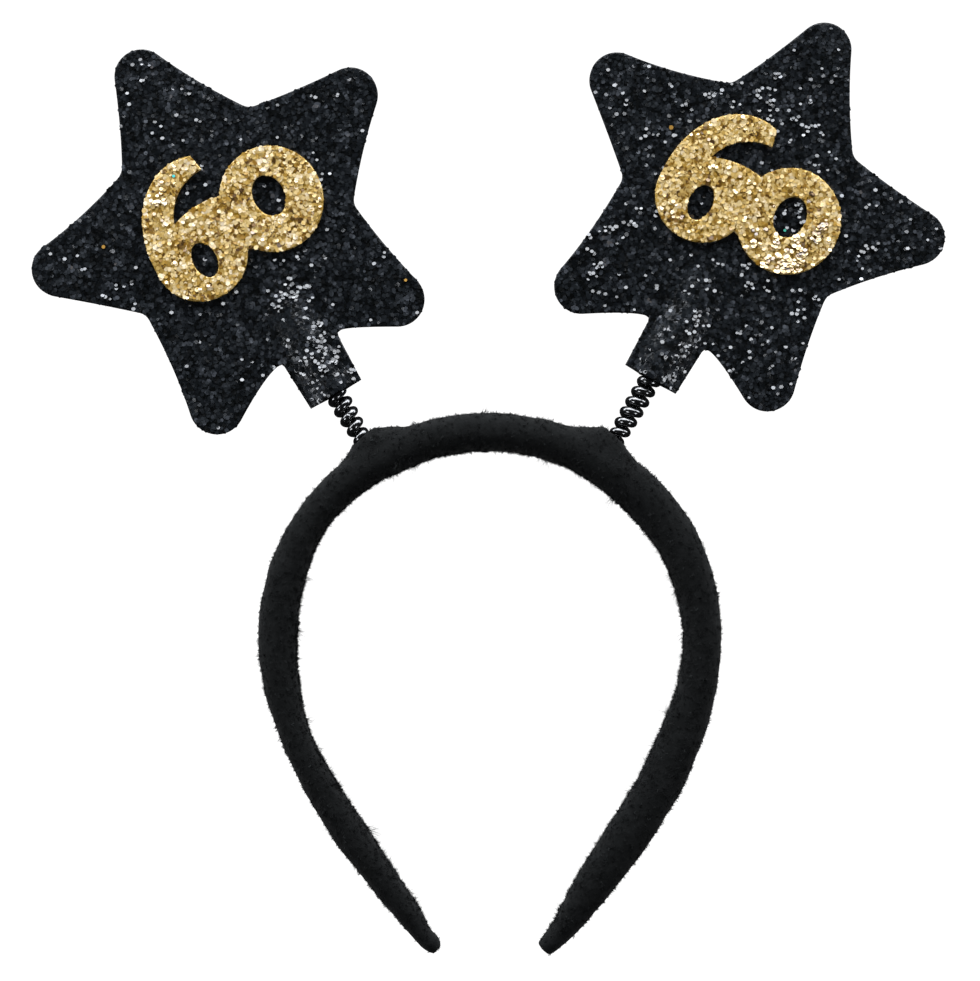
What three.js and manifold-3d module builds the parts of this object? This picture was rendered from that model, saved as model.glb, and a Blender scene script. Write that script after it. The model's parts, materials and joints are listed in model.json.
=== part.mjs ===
// Party headband: a padded fleece band that carries a star of glitter sheet on a coil spring at each side.
// A gold number is glued on the front of each star.
// Millimetres. The band lies on its back edge: +X is to the right seen from the front, +Y points from
// the tips to the stars, and +Z points to the front. The origin is under the middle of the whole part.
import * as THREE from "three";
import { mergeVertices } from "three/addons/utils/BufferGeometryUtils.js";
import Module from "manifold-3d";

const wasm = await Module();
wasm.setup();

// Band: a round arch over the head, then two legs that curve in to the tips.
const ARCH_RADIUS = 61.3; // of the band's middle line
const ARCH_HALF_TURN = THREE.MathUtils.degToRad(110); // from the crown to the top of a leg
const LEG_RADIUS = 198.7;
const REST_DEPTH = 6.4; // from the band's mid-plane back to the flat that it lies on
const PADDING_SQUARENESS = 0.85; // 1 is an oval section, less is squarer
const BAND_SIDES = 16;
const BAND_STEPS = 65;
const TIP_CROWDING = 0.7; // 0 spaces the sections evenly, more draws them towards the tips
// Sections of the padding. along: from the crown, left is negative. thick: from the inner to the outer
// edge. outward: how far the padding sits outside the middle line. broad: from front to back.
const BAND_SECTIONS = [
  { along: -199, thick: 3.8, outward: -0.3, broad: 7.2 },
  { along: -197.5, thick: 5.2, outward: -0.5, broad: 8.6 },
  { along: -195.5, thick: 5.9, outward: -0.3, broad: 9.2 },
  { along: -193, thick: 5.3, outward: -0.1, broad: 9.0 },
  { along: -190, thick: 6.4, outward: -0.7, broad: 10.6 },
  { along: -186, thick: 7.2, outward: -1.2, broad: 11.8 },
  { along: -173, thick: 8.6, outward: -1.3, broad: 13.2 },
  { along: -157, thick: 10.1, outward: -0.8, broad: 14.4 },
  { along: -141, thick: 9.6, outward: 0.1, broad: 14.4 },
  { along: -125, thick: 8.6, outward: 0.9, broad: 14.4 },
  { along: -109, thick: 10.6, outward: 0.0, broad: 14.4 },
  { along: -93, thick: 11.5, outward: -0.3, broad: 14.4 },
  { along: -77, thick: 11.2, outward: 0.1, broad: 14.4 },
  { along: -61, thick: 9.9, outward: 0.8, broad: 14.4 },
  { along: -45, thick: 10.6, outward: 0.4, broad: 14.4 },
  { along: -25, thick: 11.8, outward: -0.5, broad: 14.4 },
  { along: -12, thick: 11.1, outward: -0.9, broad: 14.4 },
  { along: 12, thick: 11.1, outward: -0.9, broad: 14.4 },
  { along: 25, thick: 11.8, outward: -0.6, broad: 14.4 },
  { along: 43, thick: 13.3, outward: -0.6, broad: 14.4 },
  { along: 59, thick: 13.0, outward: 0.0, broad: 14.4 },
  { along: 75, thick: 12.3, outward: 0.4, broad: 14.4 },
  { along: 91, thick: 11.3, outward: 0.5, broad: 14.4 },
  { along: 107, thick: 11.1, outward: 0.2, broad: 14.4 },
  { along: 123, thick: 12.8, outward: 0.4, broad: 14.4 },
  { along: 139, thick: 13.1, outward: 0.5, broad: 14.4 },
  { along: 155, thick: 12.7, outward: -0.3, broad: 14.4 },
  { along: 171, thick: 11.7, outward: -0.8, broad: 13.6 },
  { along: 180, thick: 10.0, outward: -0.5, broad: 12.6 },
  { along: 187, thick: 8.1, outward: 0.2, broad: 11.4 },
  { along: 192, thick: 6.5, outward: 0.5, broad: 10.0 },
  { along: 196, thick: 5.7, outward: 0.3, broad: 9.0 },
  { along: 198.3, thick: 5.2, outward: 0.2, broad: 7.8 },
];

// Mound of gathered fabric round the foot of a spring. down: from the foot into the band.
// along: half width along the band. across: half width from front to back.
// crownward: how far the fabric is drawn towards the crown. lift: how far it is raised on that side.
const FOOT_ALONG = 34.5; // from the crown along the middle line
const FOOT_HEIGHT = 7.5; // above the middle line
const MOUND_SIDES = 16;
const MOUND_STEPS = 6;
const MOUND_SECTIONS = [
  { down: 0.0, along: 4.2, across: 4.2, crownward: 0.6, lift: 1.5 },
  { down: 1.0, along: 5.6, across: 5.1, crownward: 1.1, lift: 1.2 },
  { down: 2.0, along: 8.1, across: 5.7, crownward: 1.6, lift: 0.8 },
  { down: 3.0, along: 10.4, across: 6.0, crownward: 1.5, lift: 0.4 },
  { down: 4.8, along: 13.0, across: 6.0, crownward: 1.5, lift: 0.0 },
];

// Coil spring
const WIRE_RADIUS = 1.3;
const COIL_RADIUS = 2.1; // to the middle of the wire
const FOOT_COIL_RADIUS = 1.5; // in the band, where the fabric draws the coil in
const COIL_FULL_AT = 9; // above the foot
const COIL_PITCH = 3.4;
const STEPS_PER_TURN = 12;
const WIRE_SIDES = 6;
const SPRING_IN_BAND = 3.5;
const SPRING_IN_SLEEVE = 12;
const POCKET_CLEARANCE = 0.4; // between a spring and the fabric round it

// Star sheet, measured from the star's centre.
const ARMS = 5;
const ARM_SPACING = (2 * Math.PI) / ARMS;
const ARM_REACH = 59.6;
const TIP_ROUND = 7.9;
const TIP_HALF_ANGLE = THREE.MathUtils.degToRad(23); // between an arm's axis and its flank at the tip
const FLANK_BEND = 14; // along the flank from the tip's round to where the flank starts to flare
const NOTCH_ROUND = 2;
// Notches after the first four arms. turn: degrees against the middle between two arms.
const NOTCHES = [
  { turn: -0.6, radius: 35.5 },
  { turn: -2.1, radius: 35.4 },
  { turn: -3.6, radius: 36.0 },
  { turn: -4.6, radius: 35.2 },
];
const TAB_ROUND = 1.5; // where the tab meets the arms beside it
const SLEEVE_X = 2.0; // the tab and spring stand this far to the right of the star's centre
const TAB_TOP_HALF = 9.0;
const TAB_END_HALF = 8.4;
const TAB_TOP = -40.6;
const TAB_END = -56.3;
const SHEET_THICK = 1.2;
const SHEET_GAP = 0.3; // between the front and back sheets

// Ridge that the spring raises in both sheets.
const RIDGE_HEIGHT = 3.9;
const RIDGE_HALF = 8.2;
const RIDGE_FULL_TO = -44; // full height from the tab's end up to here
const RIDGE_ENDS_AT = -16.5;
const RIDGE_COLUMNS = 12;
const RIDGE_ROWS = 7;
const SHEET_REACH = 75; // past every edge of the outline
const CURVE_SEGMENTS = 6;

// Number sheet: the edges of its two joined digits are arcs of ellipses, with angles in degrees.
const NUMBER_THICK = 1.2;
const GLUE_GAP = 0.3;
const NUMBER_CURVE_SEGMENTS = 10;
const NUMBER_EDGES = [
  { edge: "under the tail", x: 0.2, y: 4.9, wide: 15.1, high: 14.5, from: 164, to: 90 },
  { edge: "over the tail", x: -5.9, y: 0.0, wide: 19.4, high: 25.2, from: 75, to: 180 },
  { edge: "round the bowl", x: -11.7, y: -2.6, wide: 13.6, high: 13.1, from: 180, to: 339 },
  { edge: "round the zero", x: 14.0, y: 2.3, wide: 14.9, high: 15.5, from: 222, to: 510 },
];
const BOWL_TOP = { x: -6.2, y: 11.9 }; // the bowl's upper edge arches towards this point
const NUMBER_HOLES = [
  { x: -11.3, y: -4.2, wide: 3.5, high: 5.4 },
  { x: 13.8, y: 3.5, wide: 4.6, high: 6.2 },
];

// How each star stands, with angles in degrees anticlockwise. lean: from straight up.
// exposed: length of spring in view. coilTurn: of the wire's lower end against the front.
// starTurn: of the arms against the tab. numberTurn: of the number against the tab.
const DROOP = THREE.MathUtils.degToRad(1.7); // the stars sag back towards the surface
const SIDES = [
  { name: "left", side: -1, lean: 30, exposed: 15, coilTurn: -77, starTurn: 0.9, numberTurn: -1.8 },
  { name: "right", side: 1, lean: -30, exposed: 20, coilTurn: 121, starTurn: 2.3, numberTurn: 3.6 },
];

const fleece = { color: 0x111111, roughness: 1.0, metalness: 0.0 };
const coatedWire = { color: 0x0b0b0c, roughness: 0.3, metalness: 0.0 };
const blackGlitter = { color: 0x24272c, roughness: 0.5, metalness: 0.4 };
const goldGlitter = { color: 0xc29a48, roughness: 0.45, metalness: 0.7 };

function solidOf(geometry) {
  const bare = geometry.clone();
  bare.deleteAttribute("normal");
  bare.deleteAttribute("uv");
  const merged = mergeVertices(bare, 1e-4);
  const mesh = new wasm.Mesh({
    numProp: 3,
    vertProperties: merged.attributes.position.array,
    triVerts: new Uint32Array(merged.index.array),
  });
  return new wasm.Manifold(mesh);
}

function geometryOf(solid) {
  const mesh = solid.getMesh();
  const geometry = new THREE.BufferGeometry();
  geometry.setAttribute("position", new THREE.BufferAttribute(mesh.vertProperties, 3));
  geometry.setIndex(new THREE.BufferAttribute(mesh.triVerts, 1));
  geometry.computeVertexNormals();
  return geometry;
}

function namedMesh(name, geometry, finish) {
  const material = new THREE.MeshStandardMaterial({ ...finish, flatShading: true });
  const mesh = new THREE.Mesh(geometry, material);
  mesh.name = name;
  return mesh;
}

// A round bar whose sections are placed by a function of the share of its length and of a point on the
// unit circle. Half a side of turn puts flat sides at the front, the back, the inside and the outside.
function sectionedBar(sides, steps, place) {
  const bar = new THREE.CylinderGeometry(1, 1, 1, sides, steps, false, Math.PI / sides);
  const position = bar.attributes.position;
  for (let i = 0; i < position.count; i += 1) {
    const placed = place(position.getY(i) + 0.5, position.getX(i), position.getZ(i));
    position.setXYZ(i, placed.x, placed.y, placed.z);
  }
  return bar;
}

// A table's other columns as a function of its first column.
function tableReader(rows) {
  const [key, ...columns] = Object.keys(rows[0]);
  const keys = rows.map((row) => row[key]);
  const values = rows.flatMap((row) => columns.map((column) => row[column]));
  const reader = new THREE.LinearInterpolant(keys, values, columns.length);
  return (at) => {
    const read = reader.evaluate(at);
    return Object.fromEntries(columns.map((column, i) => [column, read[i]]));
  };
}

// A point on the band's middle line and the outward direction there, from the arch's centre.
function middleLine(along) {
  const side = Math.sign(along);
  const distance = Math.abs(along);
  const archLength = ARCH_RADIUS * ARCH_HALF_TURN;
  const outOf = (turn) => new THREE.Vector2(Math.sin(turn), Math.cos(turn));
  const point = new THREE.Vector2();
  let turn = distance / ARCH_RADIUS;
  if (distance <= archLength) {
    point.copy(outOf(turn)).multiplyScalar(ARCH_RADIUS);
  } else {
    turn = ARCH_HALF_TURN + (distance - archLength) / LEG_RADIUS;
    point.copy(outOf(ARCH_HALF_TURN)).multiplyScalar(ARCH_RADIUS - LEG_RADIUS);
    point.addScaledVector(outOf(turn), LEG_RADIUS);
  }
  const outward = outOf(turn);
  point.x *= side;
  outward.x *= side;
  return { point, outward };
}

function bandGeometry() {
  const sectionAt = tableReader(BAND_SECTIONS);
  const leftTip = BAND_SECTIONS[0].along;
  const rightTip = BAND_SECTIONS.at(-1).along;
  const squared = (value) => Math.sign(value) * Math.abs(value) ** PADDING_SQUARENESS;
  return sectionedBar(BAND_SIDES, BAND_STEPS, (share, out, front) => {
    const crowded = share - (TIP_CROWDING * Math.sin(2 * Math.PI * share)) / (2 * Math.PI);
    const along = THREE.MathUtils.lerp(rightTip, leftTip, crowded);
    const section = sectionAt(along);
    const { point, outward } = middleLine(along);
    const offset = section.outward + (squared(out) * section.thick) / 2;
    const depth = Math.max((squared(front) * section.broad) / 2, -REST_DEPTH);
    point.addScaledVector(outward, offset);
    return new THREE.Vector3(point.x, point.y, depth);
  });
}

// The frame of a spring's foot: +Y runs up the spring, +Z to the front.
function footFrame({ side, lean }) {
  const { point, outward } = middleLine(side * FOOT_ALONG);
  point.addScaledVector(outward, FOOT_HEIGHT);
  const frame = new THREE.Group();
  frame.position.set(point.x, point.y, 0);
  frame.rotation.set(-DROOP, 0, THREE.MathUtils.degToRad(lean), "ZYX");
  frame.updateMatrix();
  return frame;
}

function moundGeometry(side) {
  const sectionAt = tableReader(MOUND_SECTIONS);
  const depth = MOUND_SECTIONS.at(-1).down;
  return sectionedBar(MOUND_SIDES, MOUND_STEPS, (share, along, across) => {
    const down = (1 - share) * depth;
    const section = sectionAt(down);
    const x = along * section.along - side * section.crownward;
    const crownShare = (1 - side * along) / 2;
    return new THREE.Vector3(x, crownShare * section.lift - down, across * section.across);
  });
}

function pocketGeometry() {
  const radius = FOOT_COIL_RADIUS + WIRE_RADIUS + POCKET_CLEARANCE;
  const depth = SPRING_IN_BAND + WIRE_RADIUS + POCKET_CLEARANCE;
  const rim = 2; // the cut starts this far above the foot
  const pocket = new THREE.CylinderGeometry(radius, radius, depth + rim, MOUND_SIDES);
  return pocket.translate(0, (rim - depth) / 2, 0);
}

function headbandGeometry() {
  let solid = solidOf(bandGeometry());
  for (const row of SIDES) {
    const { matrix } = footFrame(row);
    solid = solid.add(solidOf(moundGeometry(row.side).applyMatrix4(matrix)));
    solid = solid.subtract(solidOf(pocketGeometry().applyMatrix4(matrix)));
  }
  return geometryOf(solid);
}

class Helix extends THREE.Curve {
  constructor(from, to, start) {
    super();
    this.from = from;
    this.to = to;
    this.start = start;
  }

  getPoint(share, target = new THREE.Vector3()) {
    const height = THREE.MathUtils.lerp(this.from, this.to, share);
    const turn = this.start + ((height - this.from) / COIL_PITCH) * 2 * Math.PI;
    const drawnIn = 1 - THREE.MathUtils.clamp(height / COIL_FULL_AT, 0, 1);
    const radius = THREE.MathUtils.lerp(COIL_RADIUS, FOOT_COIL_RADIUS, drawnIn);
    return target.set(radius * Math.sin(turn), height, radius * Math.cos(turn));
  }
}

function springGeometry({ exposed, coilTurn }) {
  const wire = new THREE.Shape();
  wire.absarc(0, 0, WIRE_RADIUS, 0, 2 * Math.PI);
  const turns = (SPRING_IN_BAND + exposed + SPRING_IN_SLEEVE) / COIL_PITCH;
  const start = THREE.MathUtils.degToRad(coilTurn);
  return new THREE.ExtrudeGeometry(wire, {
    steps: Math.round(turns * STEPS_PER_TURN),
    curveSegments: WIRE_SIDES / 2,
    extrudePath: new Helix(-SPRING_IN_BAND, exposed + SPRING_IN_SLEEVE, start),
  });
}

// Points of one arm: its tip's round, and the bend of a flank. hand is -1 before the tip and 1 after
// it, going anticlockwise.
function armPoints(axis) {
  const inArm = (u, v) => new THREE.Vector2(u, v).rotateAround(new THREE.Vector2(), axis);
  const roundCentre = ARM_REACH - TIP_ROUND;
  const halfRound = Math.PI / 2 - TIP_HALF_ANGLE;
  const bend = (hand) =>
    inArm(
      roundCentre + TIP_ROUND * Math.cos(halfRound) - FLANK_BEND * Math.cos(TIP_HALF_ANGLE),
      hand * (TIP_ROUND * Math.sin(halfRound) + FLANK_BEND * Math.sin(TIP_HALF_ANGLE)),
    );
  const flankTop = (hand) =>
    inArm(roundCentre + TIP_ROUND * Math.cos(halfRound), hand * TIP_ROUND * Math.sin(halfRound));
  return { axis, halfRound, centre: inArm(roundCentre, 0), bend, flankTop };
}

// The star's outline with its tab, anticlockwise from the tab's right-hand end corner.
function starOutline(starTurn) {
  const shape = new THREE.Shape();
  const tabPoint = (half, y) => new THREE.Vector2(SLEEVE_X + half, y);
  const short = (corner, towards, round) =>
    corner.clone().addScaledVector(towards.clone().sub(corner).normalize(), round);
  const firstAxis = -Math.PI / 2 + ARM_SPACING / 2 + THREE.MathUtils.degToRad(starTurn);
  const notch = (arm) => {
    const { turn, radius } = NOTCHES[arm];
    const angle = firstAxis + (arm + 0.5) * ARM_SPACING + THREE.MathUtils.degToRad(turn);
    return new THREE.Vector2(radius, 0).rotateAround(new THREE.Vector2(), angle);
  };
  const start = tabPoint(TAB_END_HALF, TAB_END);
  shape.moveTo(start.x, start.y);
  for (let arm = 0; arm < ARMS; arm += 1) {
    const points = armPoints(firstAxis + arm * ARM_SPACING);
    const first = arm === 0;
    const last = arm === ARMS - 1;
    const before = first ? tabPoint(TAB_TOP_HALF, TAB_TOP) : notch(arm - 1);
    const after = last ? tabPoint(-TAB_TOP_HALF, TAB_TOP) : notch(arm);
    const leave = short(before, points.bend(-1), first ? TAB_ROUND : NOTCH_ROUND);
    const meet = short(after, points.bend(1), last ? TAB_ROUND : NOTCH_ROUND);
    const top = points.flankTop(-1);
    if (first) {
      const foot = short(before, start, TAB_ROUND);
      shape.lineTo(foot.x, foot.y);
    }
    shape.quadraticCurveTo(before.x, before.y, leave.x, leave.y);
    shape.quadraticCurveTo(points.bend(-1).x, points.bend(-1).y, top.x, top.y);
    const from = points.axis - points.halfRound;
    const to = points.axis + points.halfRound;
    shape.absarc(points.centre.x, points.centre.y, TIP_ROUND, from, to);
    shape.quadraticCurveTo(points.bend(1).x, points.bend(1).y, meet.x, meet.y);
    if (last) {
      const end = tabPoint(-TAB_END_HALF, TAB_END);
      const foot = short(after, end, TAB_ROUND);
      shape.quadraticCurveTo(after.x, after.y, foot.x, foot.y);
      shape.lineTo(end.x, end.y);
    }
  }
  shape.closePath();
  return shape;
}

// Height of the ridge over the spring, at a point measured from the star's centre.
function ridge(x, y) {
  const across = Math.min(Math.abs(x - SLEEVE_X) / RIDGE_HALF, 1);
  const faded = 1 - THREE.MathUtils.smoothstep(y, RIDGE_FULL_TO, RIDGE_ENDS_AT);
  return RIDGE_HEIGHT * Math.cos((across * Math.PI) / 2) ** 2 * faded;
}

// A sheet between two heights above the star's mid-plane, raised over the spring on its own face.
function sheetGeometry(face, starTurn) {
  const evenly = (from, to, count) =>
    Array.from({ length: count + 1 }, (_, i) => THREE.MathUtils.lerp(from, to, i / count));
  const ridgeColumns = evenly(SLEEVE_X - RIDGE_HALF, SLEEVE_X + RIDGE_HALF, RIDGE_COLUMNS);
  const columns = [-SHEET_REACH, ...ridgeColumns, SHEET_REACH];
  const ridgeRows = evenly(RIDGE_FULL_TO, RIDGE_ENDS_AT, RIDGE_ROWS);
  const rows = [-SHEET_REACH, ...ridgeRows, SHEET_REACH];
  const slab = new THREE.BoxGeometry(1, 1, 1, columns.length - 1, rows.length - 1, 1);
  const position = slab.attributes.position;
  for (let i = 0; i < position.count; i += 1) {
    const x = columns[Math.round((position.getX(i) + 0.5) * (columns.length - 1))];
    const y = rows[Math.round((position.getY(i) + 0.5) * (rows.length - 1))];
    const outer = position.getZ(i) * face > 0;
    const height = SHEET_GAP / 2 + ridge(x, y) + (outer ? SHEET_THICK : 0);
    position.setXYZ(i, x, y, face * height);
  }
  const prism = new THREE.ExtrudeGeometry(starOutline(starTurn), {
    depth: SHEET_REACH,
    curveSegments: CURVE_SEGMENTS,
    bevelEnabled: false,
  });
  prism.translate(0, 0, -SHEET_REACH / 2);
  return geometryOf(solidOf(prism).intersect(solidOf(slab)));
}

function numberGeometry(numberTurn) {
  const shape = new THREE.Shape();
  const radians = THREE.MathUtils.degToRad;
  for (const row of NUMBER_EDGES) {
    const clockwise = row.to < row.from;
    shape.absellipse(row.x, row.y, row.wide, row.high, radians(row.from), radians(row.to), clockwise);
  }
  const start = shape.curves[0].getPoint(0);
  shape.quadraticCurveTo(BOWL_TOP.x, BOWL_TOP.y, start.x, start.y);
  for (const row of NUMBER_HOLES) {
    shape.holes.push(new THREE.Path().absellipse(row.x, row.y, row.wide, row.high, 0, 2 * Math.PI));
  }
  const sheet = new THREE.ExtrudeGeometry(shape, {
    depth: NUMBER_THICK,
    curveSegments: NUMBER_CURVE_SEGMENTS,
    bevelEnabled: false,
  });
  sheet.rotateZ(radians(numberTurn));
  return sheet.translate(0, 0, SHEET_GAP / 2 + SHEET_THICK + GLUE_GAP);
}

// A spring and its star, in the frame of the spring's foot.
function sprungStar(row) {
  const frame = footFrame(row);
  frame.add(namedMesh(`spring_${row.name}`, springGeometry(row), coatedWire));
  const star = new THREE.Group();
  star.position.set(-SLEEVE_X, row.exposed - TAB_END, 0);
  star.add(namedMesh(`star_${row.name}_front`, sheetGeometry(1, row.starTurn), blackGlitter));
  star.add(namedMesh(`star_${row.name}_back`, sheetGeometry(-1, row.starTurn), blackGlitter));
  star.add(namedMesh(`number_${row.name}`, numberGeometry(row.numberTurn), goldGlitter));
  frame.add(star);
  return frame;
}

const assembly = new THREE.Group();
assembly.add(namedMesh("headband", headbandGeometry(), fleece));
for (const row of SIDES) {
  assembly.add(sprungStar(row));
}

// The origin goes under the middle of the whole part.
const box = new THREE.Box3().setFromObject(assembly, true);
const middle = box.getCenter(new THREE.Vector3());
assembly.position.set(-middle.x, -middle.y, -box.min.z);

const headpiece = new THREE.Group();
headpiece.add(assembly);

export default headpiece;
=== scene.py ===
import cmath
import json
import math

import bmesh
import bpy
import numpy as np
from mathutils import Matrix, Vector, noise


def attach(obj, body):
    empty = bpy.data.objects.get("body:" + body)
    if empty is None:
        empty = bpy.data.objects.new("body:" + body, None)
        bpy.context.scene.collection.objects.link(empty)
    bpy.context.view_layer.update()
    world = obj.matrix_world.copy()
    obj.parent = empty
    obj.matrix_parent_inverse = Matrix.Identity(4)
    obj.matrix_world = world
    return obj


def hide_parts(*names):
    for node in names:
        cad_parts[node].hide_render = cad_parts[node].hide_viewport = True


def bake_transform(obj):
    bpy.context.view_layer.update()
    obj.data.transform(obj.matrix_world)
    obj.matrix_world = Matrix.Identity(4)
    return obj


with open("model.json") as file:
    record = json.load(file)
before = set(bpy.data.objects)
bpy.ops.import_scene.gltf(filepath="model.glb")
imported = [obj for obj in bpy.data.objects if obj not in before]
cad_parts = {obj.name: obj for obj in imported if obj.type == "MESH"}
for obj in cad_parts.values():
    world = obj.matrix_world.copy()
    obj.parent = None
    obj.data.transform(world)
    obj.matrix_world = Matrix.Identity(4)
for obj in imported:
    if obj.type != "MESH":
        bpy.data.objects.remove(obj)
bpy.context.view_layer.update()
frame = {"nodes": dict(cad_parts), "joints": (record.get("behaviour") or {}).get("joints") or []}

# Sizes are in millimetres, and pieces are shaped in millimetres before their place is applied.
MM = 0.001

# Points this near to each other are merged, and points this near to a cut lie on it.
MERGE_WITHIN = 0.001
CUT_WITHIN = 0.02

# A sheet's outer face, and what takes flakes, by the least share of its normal that points outwards
OUTER_FACE = 0.3
FLAKED_FACE = 0.5

# A direction with this share along Z is nearly upright, and no triangle counts as smaller than this.
NEARLY_UPRIGHT = 0.9
LEAST_SIZE = 1e-15

# Star sheet, measured from the star's centre, with the tab pointing down
ARMS = 5
ARM_SPACING = 2 * math.pi / ARMS
ARM_REACH = 59.6
TIP_ROUND = 7.9
TIP_HALF_ANGLE = math.radians(23)
FLANK_BEND = 14
NOTCH_ROUND = 2
TAB_ROUND = 1.5
SLEEVE_X = 2.0
TAB_TOP_HALF = 9.0
TAB_END_HALF = 8.4
TAB_TOP = -40.6
TAB_END = -56.3
SHEET_THICK = 1.2
SHEET_GAP = 0.3
SHEET_GRID = 2.0
OUTLINE_STEP = 0.9

# Notches after the first four arms, turned in degrees against the middle between two arms
NOTCHES = [
    {"turn": -0.6, "radius": 35.5},
    {"turn": -2.1, "radius": 35.4},
    {"turn": -3.6, "radius": 36.0},
    {"turn": -4.6, "radius": 35.2},
]

# Ridge that the spring raises in both sheets
RIDGE_HEIGHT = 3.9
RIDGE_HALF = 8.2
RIDGE_FULL_TO = -44
RIDGE_ENDS_AT = -16.5

# Slow waves of the whole star, as a cut sheet keeps after packing, which fade out over the tab
WAVE_HEIGHT = 0.45
WAVE_LENGTH = 34
WAVE_FADE = 40

# Rim of a cut sheet, where the blade presses the face down
RIM_WIDTH = 0.3
RIM_DROP = 0.25

# Number sheet: arcs of ellipses, with angles in degrees, and the corner that the last stretch of its
# outline bends towards
NUMBER_THICK = 1.2
NUMBER_GLUE_GAP = 0.3
NUMBER_EDGES = [
    {"x": 0.2, "y": 4.9, "wide": 15.1, "high": 14.5, "start": 164, "end": 90},
    {"x": -5.9, "y": 0.0, "wide": 19.4, "high": 25.2, "start": 75, "end": 180},
    {"x": -11.7, "y": -2.6, "wide": 13.6, "high": 13.1, "start": 180, "end": 339},
    {"x": 14.0, "y": 2.3, "wide": 14.9, "high": 15.5, "start": 222, "end": 510},
]
BOWL_TOP = complex(-6.2, 11.9)
NUMBER_HOLES = [
    {"x": -11.3, "y": -4.2, "wide": 3.5, "high": 5.4, "start": 0, "end": 360},
    {"x": 13.8, "y": 3.5, "wide": 4.6, "high": 6.2, "start": 0, "end": 360},
]

# Coil spring, which is drawn in towards its foot
WIRE_RADIUS = 1.3
COIL_RADIUS = 2.1
FOOT_COIL_RADIUS = 1.5
COIL_FULL_AT = 9
COIL_PITCH = 3.4
SPRING_IN_BAND = 3.5
SPRING_IN_SLEEVE = 12
WIRE_SIDES = 14
STEPS_PER_TURN = 30

# How each star's arms and number are turned against its tab, and the wire's lower end against the
# front, in degrees. stray and gold_stray are the chances that a flake outside the patches below stands
# up, gold_shades is the lightest tone of the number's flakes, lower on the right as painted shade that
# darkens that number, and seed starts the random draws.
SIDES = {
    "left": {
        "coil_turn": -77,
        "star_turn": 0.9,
        "number_turn": -1.8,
        "stray": 0.007,
        "gold_stray": 0.004,
        "gold_shades": 0.96,
        "seed": 11,
    },
    "right": {
        "coil_turn": 121,
        "star_turn": 2.3,
        "number_turn": 3.6,
        "stray": 0.012,
        "gold_stray": 0.008,
        # Painted shade: the right number's gold is the same as the left's, and this lower lightest tone
        # darkens it
        "gold_shades": 0.87,
        "seed": 23,
    },
}

# Patches where flakes stand up and catch the light: their place in the star's plane, how far they
# reach, and the share of flakes that stand up at their middle. Clumps raise or lower it, so it may be
# over 1.
BLACK_PATCHES = {
    "left": [
        {"x": 7, "y": -52, "reach": 4, "share": 0.52},
        {"x": 6.3, "y": -46, "reach": 4.5, "share": 0.59},
        {"x": 5.7, "y": -36, "reach": 4.5, "share": 0.29},
        {"x": 5.5, "y": -24, "reach": 5, "share": 0.23},
        {"x": 12, "y": -15, "reach": 4, "share": 0.26},
        {"x": -39, "y": 3, "reach": 4, "share": 0.07},
    ],
    "right": [
        {"x": 3, "y": 28, "reach": 7, "share": 0.2},
        {"x": -9, "y": 34, "reach": 6, "share": 0.14},
        {"x": -26, "y": -37, "reach": 6, "share": 0.2},
        {"x": -27, "y": -21, "reach": 5, "share": 0.13},
        {"x": 15, "y": -17, "reach": 5, "share": 0.13},
        {"x": 5, "y": -37, "reach": 5, "share": 0.13},
        {"x": 36, "y": 8, "reach": 4, "share": 0.13},
        {"x": -29, "y": 24, "reach": 9, "share": 0.08},
        {"x": 34, "y": -14, "reach": 7, "share": 0.1},
        {"x": 14, "y": 6, "reach": 4, "share": 0.26},
    ],
}
GOLD_PATCHES = {
    "left": [
        {"x": -13, "y": 17, "reach": 5, "share": 0.12},
        {"x": 6, "y": -2, "reach": 4, "share": 0.12},
    ],
    "right": [
        {"x": 13, "y": -9, "reach": 4, "share": 2.5},
        {"x": 19, "y": -6, "reach": 4.5, "share": 2.5},
        {"x": 22, "y": 5, "reach": 3, "share": 1.5},
    ],
}

# Flakes of another colour that got into the glitter: their tone on the flakes' colour ramp, their place
# in the star's plane, and how far they lie above the others
ODD_SHADES = {"orange": 0.98, "green": 1.0}
BLACK_ODD = {
    "left": [{"x": -34.9, "y": 13.7, "colour": "orange"}, {"x": 36.0, "y": -38.1, "colour": "orange"}],
    "right": [{"x": 13.7, "y": -0.2, "colour": "green"}, {"x": -28.4, "y": 9.5, "colour": "orange"}],
}
GOLD_ODD = {"left": [{"x": -7.1, "y": 21.4, "colour": "green"}], "right": []}
ODD_LIFT = 0.2

# Fleece cover: its mesh, how often it is smoothed, and its lumps as (size, height)
COVER_MESH = 0.98
COVER_SMOOTHING = 3
COVER_LUMPS = [(9, 0.3), (3, 0.16)]

# The band's ends, below this height in the picture, are cut: crisp, and with this share of the fibres
CUT_ENDS_BELOW = -127.5
CUT_END_NAP = 0.2

# Where the band rests, its normal points down by this share or more, and few fibres grow. Most grow on
# its inner edge, which faces the middle of the head.
UNDERSIDE = -0.8
UNDERSIDE_NAP = 0.1
INNER_EDGE_MORE = 1.5
HEAD_CENTRE = np.array([0, -55, 6.4]) * MM

# Nap of the fleece, in small points where fibres meet: how many, how far across, their length and how
# even it is, their lean in degrees, and the patches that they are combed in. The fibres of nap and tufts
# are drawn thicker than real ones, which are too fine to show, and their roots sit in the cover.
NAP_POINTS = 9500
NAP_FIBRES = 5
NAP_ACROSS = 0.4
NAP_LENGTH = 0.5
NAP_EVENNESS = 5
NAP_LEAN = 25
NAP_COMB_SIZE = 2.5
NAP_COMB_STRENGTH = 0.8
NAP_SPLIT = 0.15
NAP_RADIUS = 0.09
NAP_JOINTS = 1
NAP_SEED = 5
FIBRE_ROOT = 0.15

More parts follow.
